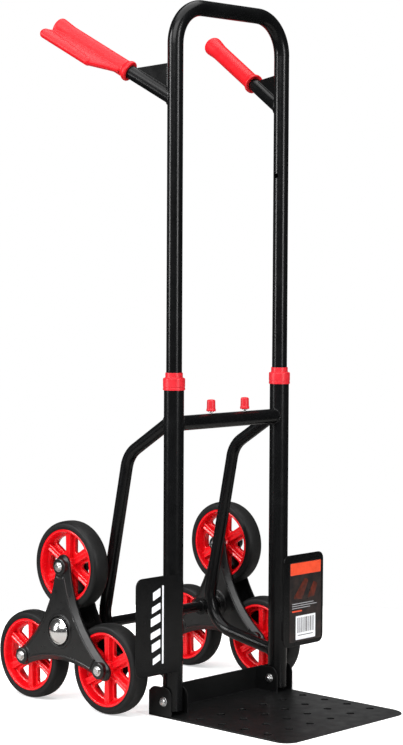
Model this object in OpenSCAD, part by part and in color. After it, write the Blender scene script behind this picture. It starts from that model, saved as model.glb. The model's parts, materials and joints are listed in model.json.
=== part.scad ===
// Folding stair-climbing hand truck: telescopic handle, tri-star wheel
// clusters and a toe plate that folds up. +Z is up, the toe plate points to -Y
// and its underside lies on z = 0 midway between the uprights.

/* [Frame] */
// Distance between the axes of the two uprights
upright_spacing = 238; // [234:1:240]
// Outer diameter of the upright tubes
upright_d = 30; // [29:0.5:30.5]
// Wall thickness of the upright and handle tubes
tube_wall = 1.5; // [1.2:0.1:1.6]
// Height of the top of the upright tubes
upright_top = 502; // [490:2:510]
// Height of the crossbar's axis, where the handle locks
crossbar_z = 437; // [430:1:440]
// Diameter of the crossbar
crossbar_d = 22.5; // [21.5:0.5:23.5]
// Diameter of the rear struts
strut_d = 19; // [18:0.5:20.5]
// Diameter of the tube that carries the cluster axle
axle_tube_d = 16; // [15.5:0.5:16.5]

/* [Handle] */
// Outer diameter of the telescopic handle tube
handle_d = 23.5; // [23:0.5:24]
// Height of the top bar's axis with the handle pulled out
handle_top = 1053; // [1040:1:1070]
// Radius of the handle's two upper corners
handle_corner_r = 57; // [50:1:80]
// How far the handle slides down into the uprights
handle_travel = 374; // [340:1:374]
// Height at which the side grips leave the handle tube
stub_z = 914; // [910:1:930]
// Diameter of the side grips' inner tube
stub_d = 20.5; // [19:0.5:21.5]
// Rise of the side grips above the horizontal, in degrees
stub_rise = 30; // [28:0.5:34]
// Outward splay of the side grips, in degrees
stub_splay = 15; // [12:0.5:18]

/* [Wheels] */
// Diameter of each wheel over the tyre
wheel_d = 136; // [132:1:138]
// Width of each tyre
wheel_w = 30; // [28:1:31]
// Diameter of the wheel rim
rim_d = 112; // [108:1:114]
// Distance from the cluster's axle to each wheel's axle
spider_arm = 98; // [96:1:100]
// Distance from the truck's middle plane to each wheel's middle plane
wheel_x = 174; // [174:1:178]
// Distance of the cluster axle behind the uprights
axle_y = 161; // [161:1:165]

/* [Toe plate] */
// Width of the toe plate
toe_w = 277; // [276:1:282]
// Reach of the toe plate in front of the uprights' axes
toe_reach = 243; // [235:1:260]
// Thickness of the toe plate's sheet
toe_t = 2.5; // [2:0.25:3]
// Height of the pivot bolts above the ground
pivot_z = 24; // [24:0.5:26]
// Spacing of the round holes across the deck
hole_pitch = 47; // [44:1:48]
// Spacing of the rows of holes, front to back
hole_row_pitch = 44.5; // [42:0.5:46]

/* [Hidden] */
$fn = 64;
SIDES = [["left", -1], ["right", 1]];
WHEEL_ANGLES = [["top", 90], ["rear", -30], ["front", 210]];

BLACK = "#1b1b1d";
RED = "#d8262e";
ZINC = "#c4c6c8";
CHROME = "#e4e6e8";
RUBBER = "#2a2b2c";

upright_x = upright_spacing / 2;
upright_r = upright_d / 2;
handle_r = handle_d / 2;
fit_gap = 0.06;
bore_gap = 0.05;

// Bends are a hair thicker than the straight tube, and the tube runs into them
lap = 0.5;
bend_swell = 0.1;
pin_fit = 0.1;

// Uprights and their pivot
upright_bottom = 9;
pivot_d = 6;
bolt_head_af = 10;
bolt_head_h = 4;

// Rear struts, as points (y, z) in the plane of each upright
strut_top = [0, 444.5];
strut_knee = [95, 384.5];
strut_heel = [155, 93];
strut_foot = [0, 63];
knee_r = 45;
heel_r = 56;

// Cluster axle
axle_z = wheel_d / 2 + spider_arm / 2;
axle_d = 12;
lug_d = 28;
lug_w = 15;
shell_t = 12;
shell_gap = 1;
shell_in_x = wheel_x - wheel_w / 2 - shell_gap - shell_t;
shell_out_x = wheel_x + wheel_w / 2 + shell_gap;
shell_face_x = shell_out_x + shell_t;
recess_d = 46;
recess_h = 4;
recess_x = shell_face_x - recess_h;
cap_r = 18.5;
cap_h = 11;
cap_t = 1.5;
cap_bore_r = 14;
sleeve_d = 20;
end_play = 0.5;
nut_h = 5;

// Spider outline: three arms between three large round cut-outs
arm_half_w = 12;
arm_end_r = 12.5;
arm_end_at = spider_arm + 4;
waist_r = 46;
rib_inset = 5;
rib_h = 3;

// Wheels
wheel_bolt_d = 6;
hub_r = 13;
rim_bead = 6;
web_t = 6;
spoke_w = 10;
spoke_t = 18;
window_in_r = 27;
window_out_r = 46;
window_half_angle = 24;
window_apex_r = 20;
window_tip = 2.5;

// Handle
handle_bottom = crossbar_z - 25;
lock_pin_d = 7;
bush_h = 12;
stub_len = 230;
grip_start = 88;
grip_len = 146;
grip_d = 26.5;
grip_ring_d = 32;
wing_out = 30;
wing_drop = 15;
wing_d = 12;
wing_lap = 6;
wing_near = 10;
wing_lobe = 88;
wing_notch = 8;
gusset_t = 3;
gusset_reach = 64;
gusset_rise = 55;
gusset_fall = 5.5;

// Collars
collar_d = 33;
collar_top_d = 26;
collar_z = upright_top - 15;
collar_step_z = upright_top + 2.5;
collar_top_z = upright_top + 11;

// Release knobs and lock pins
knob_x = 38;
knob_d = 14.5;
knob_top_d = 12.5;
knob_z = 451.5;
knob_h = 18;
knob_travel = 9;
stem_d = 4;
pin_head_len = 16;
pin_tip_gap = 0.3;

// Fenders
fender_in = 4;
fender_w = 93;
fender_bottom = 70;
fender_top = 216;
fender_t = 2;
fender_back_y = -13.5;
fender_corner_r = 12;
label_t = 0.4;
label_w = 77;
label_h = 127;
label_in = 10.5;
label_up = 7;

// Toe plate
wall_y = 31;
wall_h = 38;
tab_h = 45;
tab_front_y = -15;
tab_corner_r = 14;
ear_gap = 1;
ear_x = upright_x - upright_r - ear_gap;
toe_corner_r = 22;
bevel_len = 28;
bevel_drop = 1.6;
hole_d = 12;
first_hole_y = -54;

function unit(v) = v / norm(v);
function heading(a, b) = atan2(b[1] - a[1], b[0] - a[0]);
function turn(a, b, c) = (heading(b, c) - heading(a, b) + 540) % 360 - 180;
function setback(a, b, c, r) = r * tan(abs(turn(a, b, c)) / 2);

// A round tube in the XY plane along points, with a bend radius at each inner point
module bent_tube(points, radii, outer_r, inner_r) {
    difference() {
        bent_bar(points, radii, outer_r);
        if (inner_r > 0) bent_bar(points, radii, inner_r);
    }
}

module bent_bar(points, radii, r) {
    last = len(points) - 1;
    for (i = [0 : last - 1]) {
        a = points[i];
        b = points[i + 1];
        start = i == 0 ? 0 : setback(points[i - 1], a, b, radii[i - 1]) - lap;
        stop = i == last - 1 ? 0 : setback(a, b, points[i + 2], radii[i]) - lap;
        from = a + unit(b - a) * start;
        translate([from[0], from[1], 0])
            rotate([0, 0, heading(a, b)])
                rotate([0, 90, 0])
                    cylinder(h = norm(b - a) - start - stop, r = r);
    }
    for (i = [1 : last - 1])
        bend(points[i - 1], points[i], points[i + 1], radii[i - 1], r);
}

// The arc between two straight lengths a-b and b-c
module bend(a, b, c, bend_r, r) {
    angle = turn(a, b, c);
    side = angle > 0 ? 1 : -1;
    along = unit(b - a);
    tangent = b - along * setback(a, b, c, bend_r);
    centre = tangent + [-along[1], along[0]] * side * bend_r;
    first = side > 0 ? heading(a, b) - 90 : heading(a, b) + 90 + angle;
    translate([centre[0], centre[1], 0])
        rotate([0, 0, first])
            rotate_extrude(angle = abs(angle))
                translate([bend_r, 0])
                    circle(r + bend_swell);
}

module pipe(outer_r, inner_r, length) {
    difference() {
        cylinder(h = length, r = outer_r);
        if (inner_r > 0) translate([0, 0, -1]) cylinder(h = length + 2, r = inner_r);
    }
}

// A round bar along X from x0 to x1
module bar_x(x0, x1, r, y, z) {
    translate([min(x0, x1), y, z])
        rotate([0, 90, 0])
            cylinder(h = abs(x1 - x0), r = r);
}

module hex_x(x0, x1, across_flats, y, z) {
    translate([min(x0, x1), y, z])
        rotate([0, 90, 0])
            cylinder(h = abs(x1 - x0), d = across_flats / cos(30), $fn = 6);
}

// Turns a drawing in the plane (y, z) with its thickness along +X
module yz_plane() {
    rotate([90, 0, 90]) children();
}

module mirror_side(side) {
    if (side < 0) mirror([1, 0, 0]) children();
    else children();
}

// ---- Frame ----

module upright(side) {
    color(BLACK)
    difference() {
        translate([side * upright_x, 0, upright_bottom])
            pipe(upright_r, upright_r - tube_wall, upright_top - upright_bottom);
        bar_x(side * (upright_x - 30), side * (upright_x + 30), pivot_d / 2, 0, pivot_z);
        bar_x(side * (upright_x - 30), side * upright_x, lock_pin_d / 2 + pin_fit, 0, crossbar_z);
    }
}

module upper_crossbar() {
    slot_x = [knob_x - knob_travel - stem_d / 2 - 1, knob_x + stem_d / 2 + 1];
    color(BLACK)
    difference() {
        bar_x(-upright_x, upright_x, crossbar_d / 2, 0, crossbar_z);
        bar_x(-upright_x - 1, upright_x + 1, crossbar_d / 2 - tube_wall, 0, crossbar_z);
        for (s = SIDES) {
            translate([s[1] * upright_x, 0, crossbar_z - 20])
                cylinder(h = 40, r = upright_r);
            translate([min(s[1] * slot_x[0], s[1] * slot_x[1]), -stem_d / 2 - 0.5, crossbar_z])
                cube([slot_x[1] - slot_x[0], stem_d + 1, 20]);
        }
    }
}

module strut(side) {
    color(BLACK)
    difference() {
        translate([side * upright_x, 0, 0])
            yz_plane()
                bent_tube([strut_top, strut_knee, strut_heel, strut_foot], [knee_r, heel_r],
                    strut_d / 2, strut_d / 2 - tube_wall);
        translate([side * upright_x, 0, 0]) cylinder(h = 500, r = upright_r);
    }
}

module axle_tube() {
    lug_x = upright_x + lug_w / 2;
    color(BLACK)
    difference() {
        bar_x(-lug_x, lug_x, axle_tube_d / 2, axle_y, axle_z);
        bar_x(-lug_x - 1, lug_x + 1, axle_d / 2, axle_y, axle_z);
    }
}

module axle_lug(side) {
    color(BLACK)
    difference() {
        bar_x(side * (upright_x - lug_w / 2), side * (upright_x + lug_w / 2), lug_d / 2, axle_y, axle_z);
        bar_x(side * (upright_x - lug_w), side * (upright_x + lug_w), axle_tube_d / 2, axle_y, axle_z);
        translate([side * upright_x, 0, 0])
            yz_plane()
                bent_tube([strut_top, strut_knee, strut_heel, strut_foot], [knee_r, heel_r], strut_d / 2, 0);
    }
}

module cluster_axle() {
    half = recess_x + end_play + nut_h + 0.5;
    color(ZINC) bar_x(-half, half, axle_d / 2, axle_y, axle_z);
}

module axle_spacer(side) {
    color(BLACK)
    difference() {
        bar_x(side * (upright_x + lug_w / 2), side * (shell_in_x - end_play), sleeve_d / 2, axle_y, axle_z);
        bar_x(side * upright_x, side * shell_face_x, axle_d / 2, axle_y, axle_z);
    }
}

module axle_nuts() {
    color(ZINC)
    for (s = SIDES)
        difference() {
            hex_x(s[1] * (recess_x + end_play), s[1] * (recess_x + end_play + nut_h), 18, axle_y, axle_z);
            bar_x(s[1] * upright_x, s[1] * (shell_face_x + 20), axle_d / 2, axle_y, axle_z);
        }
}

module rounded_plate(size, r, t) {
    translate([r, 0, 0]) cube([size[0] - 2 * r, size[1], t]);
    translate([0, r, 0]) cube([size[0], size[1] - 2 * r, t]);
    for (x = [r, size[0] - r], y = [r, size[1] - r])
        translate([x, y, 0]) cylinder(h = t, r = r);
}

module fender(side) {
    color(BLACK)
    difference() {
        mirror_side(side)
            translate([upright_x - fender_in, fender_back_y, fender_bottom])
                rotate([90, 0, 0])
                    rounded_plate([fender_w + fender_in, fender_top - fender_bottom], fender_corner_r, fender_t);
        translate([side * upright_x, 0, 0]) cylinder(h = 300, r = upright_r);
    }
}

module product_label() {
    color("#3a3a3c")
    translate([upright_x + label_in, fender_back_y - fender_t - label_t, fender_bottom + label_up])
        cube([label_w, label_t, label_h]);
}

module collar(side) {
    color(RED)
    translate([side * upright_x, 0, 0])
        difference() {
            union() {
                translate([0, 0, collar_z]) cylinder(h = collar_step_z - collar_z, d = collar_d);
                translate([0, 0, collar_step_z]) cylinder(h = collar_top_z - collar_step_z, d = collar_top_d);
            }
            translate([0, 0, collar_z - 1]) cylinder(h = upright_top - collar_z + 1, r = upright_r);
            translate([0, 0, collar_z - 1]) cylinder(h = 40, r = handle_r + fit_gap);
        }
}

module pivot_bolt(side) {
    outer = toe_w / 2;
    inner = ear_x - toe_t;
    color(ZINC) {
        bar_x(side * (inner - 7), side * (outer + 0.4), pivot_d / 2, 0, pivot_z);
        hex_x(side * (outer + 0.4), side * (outer + 0.4 + bolt_head_h), bolt_head_af, 0, pivot_z);
        difference() {
            hex_x(side * (inner - 5.4), side * (inner - 0.4), bolt_head_af, 0, pivot_z);
            bar_x(side * (inner - 7), side * outer, pivot_d / 2, 0, pivot_z);
        }
    }
}

// ---- Toe plate ----

module side_wall(x, height) {
    difference() {
        translate([x, 0, 0])
            yz_plane()
                difference() {
                    translate([tab_front_y, 0, 0])
                        cube([wall_y - tab_front_y, height, toe_t]);
                    for (y = [tab_front_y, wall_y])
                        wall_corner(y, height, y == wall_y ? 1 : -1);
                }
        bar_x(x - 1, x + toe_t + 1, pivot_d / 2 + bore_gap, 0, pivot_z);
    }
}

module wall_corner(y, height, end) {
    difference() {
        translate([end > 0 ? y - tab_corner_r : y - 1, height - tab_corner_r, -1])
            cube([tab_corner_r + 1, tab_corner_r + 1, toe_t + 2]);
        translate([y - end * tab_corner_r, height - tab_corner_r, -2])
            cylinder(h = toe_t + 4, r = tab_corner_r);
    }
}

// The deck's front strip slopes down to a thin edge
module toe_deck() {
    profile = [[wall_y, 0], [wall_y, toe_t], [bevel_len - toe_reach, toe_t],
        [-toe_reach, toe_t - bevel_drop], [-toe_reach, 0]];
    difference() {
        translate([-toe_w / 2, 0, 0]) yz_plane() linear_extrude(toe_w) polygon(profile);
        for (side = [-1, 1]) mirror_side(side) deck_corner();
        for (i = [-2.5 : 2.5], j = [0 : 3])
            translate([i * hole_pitch, first_hole_y - j * hole_row_pitch, -1])
                cylinder(h = toe_t + 2, d = hole_d);
    }
}

module deck_corner() {
    x = toe_w / 2 - toe_corner_r;
    y = -toe_reach + toe_corner_r;
    difference() {
        translate([x, y - toe_corner_r - 1, -1]) cube([toe_corner_r + 1, toe_corner_r + 1, toe_t + 2]);
        translate([x, y, -2]) cylinder(h = toe_t + 4, r = toe_corner_r);
    }
}

module toe_plate() {
    color(BLACK)
    union() {
        toe_deck();
        translate([-toe_w / 2, wall_y - toe_t, 0]) cube([toe_w, toe_t, wall_h]);
        for (side = [-1, 1])
            mirror_side(side) {
                side_wall(toe_w / 2 - toe_t, tab_h);
                side_wall(ear_x - toe_t, tab_h - 3);
            }
    }
}

// ---- Handle ----

module handle_bow() {
    path = [[-upright_x, handle_bottom], [-upright_x, handle_top],
        [upright_x, handle_top], [upright_x, handle_bottom]];
    color(BLACK)
    difference() {
        rotate([90, 0, 0])
            bent_tube(path, [handle_corner_r, handle_corner_r], handle_r, handle_r - tube_wall);
        for (s = SIDES, z = [crossbar_z, crossbar_z + handle_travel])
            bar_x(s[1] * (upright_x - 20), s[1] * upright_x, lock_pin_d / 2 + 0.3, 0, z);
    }
}

// The side grip's own axis becomes +Z, starting on the handle tube's axis
module stub_frame(side) {
    mirror_side(side)
        translate([upright_x, 0, stub_z])
            rotate([0, 0, -stub_splay])
                rotate([-(90 - stub_rise), 0, 0])
                    children();
}

module grip_stub(side) {
    color(BLACK)
    difference() {
        stub_frame(side) pipe(stub_d / 2, stub_d / 2 - tube_wall, stub_len);
        translate([side * upright_x, 0, stub_z - 60]) cylinder(h = 120, r = handle_r);
    }
}

module gusset(side) {
    color(BLACK)
    difference() {
        mirror_side(side)
            translate([upright_x, 0, 0])
                rotate([0, 0, -stub_splay])
                    translate([-gusset_t / 2, 0, 0])
                        yz_plane()
                            linear_extrude(gusset_t)
                                polygon([[5, stub_z + 6], [5, stub_z + gusset_rise],
                                    [gusset_reach, stub_z + gusset_rise - gusset_fall]]);
        translate([side * upright_x, 0, stub_z - 60]) cylinder(h = 160, r = handle_r);
        stub_frame(side) cylinder(h = stub_len, r = stub_d / 2);
    }
}

module grip(side) {
    color(RED)
    difference() {
        stub_frame(side) {
            translate([0, 0, grip_start]) cylinder(h = grip_len, d = grip_d);
            translate([0, 0, grip_start]) cylinder(h = 5, d = grip_ring_d);
            translate([0, 0, grip_start + grip_len - 5]) cylinder(h = 5, d = grip_ring_d);
            wing();
        }
        stub_frame(side) translate([0, 0, grip_start - 1]) cylinder(h = stub_len - grip_start + 1, d = stub_d);
    }
}

// Knuckle guard along the outer, lower edge of a grip: a blade with a round lobe
module wing() {
    near = grip_start + wing_near;
    far = grip_start + grip_len;
    reach = norm([wing_out, wing_drop]);
    rotate([0, 0, atan2(wing_drop, wing_out)]) {
        translate([0, wing_d / 2, 0])
            rotate([90, 0, 0])
                linear_extrude(wing_d)
                    polygon([[0, near], [grip_d / 2, near], [reach, far - wing_lobe], [reach, far + wing_lap],
                        [reach - wing_d, far + wing_lap], [grip_d / 2 + 2, far - wing_notch], [0, far - wing_notch]]);
        translate([reach, 0, far - wing_lobe]) cylinder(h = wing_lobe + wing_lap, d = wing_d);
    }
}

module handle_bush(side) {
    color(RED)
    translate([side * upright_x, 0, handle_bottom - 3])
        difference() {
            union() {
                cylinder(h = 3, r = upright_r - tube_wall - fit_gap);
                cylinder(h = bush_h, r = handle_r - tube_wall);
            }
            translate([0, 0, -1]) cylinder(h = bush_h + 2, r = 6);
        }
}

// ---- Handle lock ----

module release_knob(side) {
    color(RED)
    translate([side * knob_x, 0, 0]) {
        translate([0, 0, knob_z])
            rotate_extrude()
                polygon([[0, 0], [knob_d / 2, 0], [knob_d / 2, 4], [knob_top_d / 2, knob_h - 1.5],
                    [knob_top_d / 2 - 1.5, knob_h], [0, knob_h]]);
    }
    color(ZINC)
    translate([side * knob_x, 0, crossbar_z + 4]) cylinder(h = knob_z - crossbar_z - 4, d = stem_d);
}

module lock_pin(side) {
    tip_x = upright_x - handle_r - pin_tip_gap;
    head_x = knob_x + pin_head_len / 2;
    bore_r = crossbar_d / 2 - tube_wall;
    color(ZINC)
    difference() {
        union() {
            bar_x(side * (knob_x - pin_head_len / 2), side * head_x, bore_r - pin_fit, 0, crossbar_z);
            bar_x(side * head_x, side * tip_x, lock_pin_d / 2, 0, crossbar_z);
        }
        translate([side * knob_x, 0, crossbar_z + 4]) cylinder(h = 20, d = stem_d);
    }
}

module lock_spring() {
    half = knob_x - pin_head_len / 2 - knob_travel - 1;
    color(ZINC)
    translate([-half, 0, crossbar_z])
        rotate([0, 90, 0])
            pipe(7, 5.5, 2 * half);
}

// ---- Wheel clusters ----

// Moves a drawing made around +X at the origin to the cluster's axle
module on_axle(side) {
    translate([0, axle_y, axle_z]) mirror_side(side) children();
}

module star(end_r, half_w, waist, x0, x1) {
    step_in = waist - half_w;
    at = (arm_end_at * arm_end_at - step_in * step_in) / (arm_end_at - 2 * step_in);
    r = at - waist;
    difference() {
        bar_x(x0, x1, arm_end_at, 0, 0);
        for (a = [30, 150, 270])
            bar_x(x0 - 1, x1 + 1, r, at * cos(a), at * sin(a));
    }
    for (w = WHEEL_ANGLES)
        bar_x(x0, x1, end_r, arm_end_at * cos(w[1]), arm_end_at * sin(w[1]));
}

module spider_bores(x0, x1, hub_d) {
    bar_x(x0 - 1, x1 + 1, hub_d / 2, 0, 0);
    for (w = WHEEL_ANGLES)
        bar_x(x0 - 1, x1 + 1, wheel_bolt_d / 2, spider_arm * cos(w[1]), spider_arm * sin(w[1]));
}

module outer_spider(side) {
    color(BLACK)
    on_axle(side)
        difference() {
            union() {
                star(arm_end_r, arm_half_w, waist_r, shell_out_x, shell_face_x - rib_h);
                star(arm_end_r - rib_inset, arm_half_w - rib_inset, waist_r - rib_inset,
                    shell_out_x, shell_face_x);
            }
            spider_bores(shell_out_x, shell_face_x, sleeve_d);
            bar_x(recess_x, shell_face_x + 1, recess_d / 2, 0, 0);
        }
}

module inner_spider(side) {
    color(BLACK)
    on_axle(side)
        difference() {
            union() {
                star(arm_end_r, arm_half_w, waist_r, shell_in_x + rib_h, shell_in_x + shell_t);
                star(arm_end_r - rib_inset, arm_half_w - rib_inset, waist_r - rib_inset,
                    shell_in_x, shell_in_x + shell_t);
            }
            spider_bores(shell_in_x, shell_in_x + shell_t, sleeve_d);
        }
}

module hub_sleeve(side) {
    color(ZINC)
    on_axle(side)
        difference() {
            bar_x(shell_in_x, recess_x, sleeve_d / 2, 0, 0);
            bar_x(shell_in_x - 1, recess_x + 1, axle_d / 2 + fit_gap, 0, 0);
        }
}

// A thin dome, hollow over the axle's nut
module hub_cap(side) {
    dome_r = (cap_r * cap_r + cap_h * cap_h) / (2 * cap_h);
    color(CHROME)
    on_axle(side)
        translate([recess_x, 0, 0])
            rotate([0, 90, 0])
                rotate_extrude($fn = 96)
                    difference() {
                        intersection() {
                            translate([0, cap_h - dome_r]) circle(dome_r);
                            square([cap_r + 1, cap_h + 1]);
                        }
                        intersection() {
                            translate([0, cap_h - dome_r]) circle(dome_r - cap_t);
                            translate([-1, -1]) square([cap_bore_r + 1, cap_h + 1]);
                        }
                    }
}

module wheel_bolts(side) {
    color(ZINC)
    on_axle(side)
        for (w = WHEEL_ANGLES) {
            y = spider_arm * cos(w[1]);
            z = spider_arm * sin(w[1]);
            bar_x(shell_in_x - 6, shell_face_x, wheel_bolt_d / 2, y, z);
            hex_x(shell_face_x, shell_face_x + bolt_head_h, bolt_head_af, y, z);
            difference() {
                hex_x(shell_in_x - 5, shell_in_x, bolt_head_af, y, z);
                bar_x(shell_in_x - 6, shell_in_x + 1, wheel_bolt_d / 2, y, z);
            }
        }
}

// Moves a wheel drawn around +X at the origin to its place on a cluster
module at_wheel(side, angle) {
    on_axle(side)
        translate([wheel_x, spider_arm * cos(angle), spider_arm * sin(angle)])
            children();
}

module rim(side, angle) {
    half_w = wheel_w / 2;
    rim_r = rim_d / 2;
    color(RED)
    at_wheel(side, angle)
        difference() {
            union() {
                bar_x(-half_w, half_w, hub_r, 0, 0);
                bar_x(-web_t / 2, web_t / 2, rim_r - rim_bead + 1, 0, 0);
                difference() {
                    bar_x(-half_w, half_w, rim_r, 0, 0);
                    bar_x(-half_w - 1, half_w + 1, rim_r - rim_bead, 0, 0);
                }
                for (i = [0 : 5])
                    rotate([30 + 60 * i, 0, 0])
                        translate([-spoke_t / 2, hub_r - 2, -spoke_w / 2])
                            cube([spoke_t, rim_r - rim_bead - hub_r + 3, spoke_w]);
            }
            bar_x(-half_w - 1, half_w + 1, wheel_bolt_d / 2 + bore_gap, 0, 0);
            for (i = [0 : 5]) rotate([60 * i, 0, 0]) rim_window();
        }
}

// A rounded-off wedge between two spokes, open through the web
module rim_window() {
    far = rim_d / 2;
    half = (far - window_apex_r) * tan(window_half_angle);
    translate([-web_t, 0, 0])
        yz_plane()
            linear_extrude(2 * web_t)
                intersection() {
                    polygon([[window_in_r, -window_tip], [far, -half], [far, half], [window_in_r, window_tip]]);
                    circle(window_out_r);
                }
}

module tyre(side, angle) {
    crown = 7;
    half_w = wheel_w / 2;
    shoulder_r = wheel_d / 2 - crown;
    color(RUBBER)
    at_wheel(side, angle)
        rotate([0, 90, 0])
            rotate_extrude($fn = 96)
                polygon(concat([[rim_d / 2, half_w], [rim_d / 2, -half_w]],
                    [for (t = [-90 : 15 : 90]) [shoulder_r + crown * cos(t), half_w * sin(t)]]));
}

upright(-1);  // left_upright
upright(1);  // right_upright
upper_crossbar();
strut(-1);  // left_strut
strut(1);  // right_strut
axle_tube();
axle_lug(-1);  // left_axle_lug
axle_lug(1);  // right_axle_lug
cluster_axle();
axle_spacer(-1);  // left_axle_spacer
axle_spacer(1);  // right_axle_spacer
axle_nuts();
fender(-1);  // left_fender
fender(1);  // right_fender
product_label();
collar(-1);  // left_collar
collar(1);  // right_collar
pivot_bolt(-1);  // left_pivot_bolt
pivot_bolt(1);  // right_pivot_bolt
toe_plate();
handle_bow();
grip_stub(-1);  // left_grip_stub
grip_stub(1);  // right_grip_stub
gusset(-1);  // left_gusset
gusset(1);  // right_gusset
grip(-1);  // left_grip
grip(1);  // right_grip
handle_bush(-1);  // left_handle_bush
handle_bush(1);  // right_handle_bush
release_knob(-1);  // left_release_knob
release_knob(1);  // right_release_knob
lock_pin(-1);  // left_lock_pin
lock_pin(1);  // right_lock_pin
lock_spring();
outer_spider(-1);  // left_outer_spider
outer_spider(1);  // right_outer_spider
inner_spider(-1);  // left_inner_spider
inner_spider(1);  // right_inner_spider
hub_sleeve(-1);  // left_hub_sleeve
hub_sleeve(1);  // right_hub_sleeve
hub_cap(-1);  // left_hub_cap
hub_cap(1);  // right_hub_cap
wheel_bolts(-1);  // left_wheel_bolts
wheel_bolts(1);  // right_wheel_bolts
for (s = SIDES, w = WHEEL_ANGLES) {
    rim(s[1], w[1]);
    tyre(s[1], w[1]);
}
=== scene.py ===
"""Folding stair-climbing hand truck: its looks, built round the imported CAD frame.

Lengths are in millimetres in the helpers' arguments and metres in Blender. Pieces on a
wheel cluster are drawn in (y, z, w), where w is the distance outward from the truck's
middle plane, and then placed on the left or the right.
"""
import json
import math

import bmesh
import bpy
from mathutils import Matrix, Vector


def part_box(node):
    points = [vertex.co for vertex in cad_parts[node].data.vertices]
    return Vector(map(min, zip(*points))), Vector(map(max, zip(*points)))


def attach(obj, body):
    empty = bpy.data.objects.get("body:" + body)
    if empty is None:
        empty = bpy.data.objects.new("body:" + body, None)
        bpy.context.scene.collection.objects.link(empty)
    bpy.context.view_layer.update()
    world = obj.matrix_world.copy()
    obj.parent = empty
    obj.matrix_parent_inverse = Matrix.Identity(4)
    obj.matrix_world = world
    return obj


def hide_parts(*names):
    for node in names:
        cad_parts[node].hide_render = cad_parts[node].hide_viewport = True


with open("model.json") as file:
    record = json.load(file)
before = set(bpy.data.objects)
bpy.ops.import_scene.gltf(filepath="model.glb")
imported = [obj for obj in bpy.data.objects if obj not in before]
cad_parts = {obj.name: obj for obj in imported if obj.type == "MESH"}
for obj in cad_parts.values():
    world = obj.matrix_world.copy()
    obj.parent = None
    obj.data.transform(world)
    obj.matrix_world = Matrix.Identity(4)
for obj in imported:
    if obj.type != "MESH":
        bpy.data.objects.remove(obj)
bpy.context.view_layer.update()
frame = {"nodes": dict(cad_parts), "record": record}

MM = 0.001
# A turned ring this small closes to a point when doubled vertices are merged
LEAST_R = 0.0005
SIDES = {"left": -1, "right": 1}
WHEELS = ("top", "rear", "front")
scene = bpy.context.scene


def middle(node):
    """Centre of a CAD node, in millimetres."""
    low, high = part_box(node)
    return (low + high) / 2 / MM


def span(node):
    """Size of a CAD node, in millimetres."""
    low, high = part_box(node)
    return (high - low) / MM


def low(node):
    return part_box(node)[0] / MM


def high(node):
    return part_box(node)[1] / MM


# ---- Camera ----

CAMERA_PLACE = (-2245.72, -2046.40, 673.68)
CAMERA_YAW, CAMERA_PITCH, CAMERA_ROLL = -46.89, 3.11, 0.29
FOCAL_PX, FRAME_H_PX = 1997.46, 745


def make_camera():
    """A level-built camera, turned by yaw about Z, then pitch, then a slight roll."""
    yaw, pitch, roll = (math.radians(a) for a in (CAMERA_YAW, CAMERA_PITCH, CAMERA_ROLL))
    forward = Vector((-math.sin(yaw) * math.cos(pitch), math.cos(yaw) * math.cos(pitch), -math.sin(pitch)))
    level = Vector((math.cos(yaw), math.sin(yaw), 0))
    upward = level.cross(forward)
    right = level * math.cos(roll) + upward * math.sin(roll)
    up = upward * math.cos(roll) - level * math.sin(roll)
    data = bpy.data.cameras.new("camera")
    data.sensor_width = 36
    data.lens = FOCAL_PX * data.sensor_width / FRAME_H_PX
    data.clip_start, data.clip_end = 0.05, 60
    camera = bpy.data.objects.new("camera", data)
    scene.collection.objects.link(camera)
    turn = Matrix((right, up, -forward)).transposed().to_4x4()
    camera.matrix_world = Matrix.Translation(Vector(CAMERA_PLACE) * MM) @ turn
    scene.camera = camera


# ---- Materials ----

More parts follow.
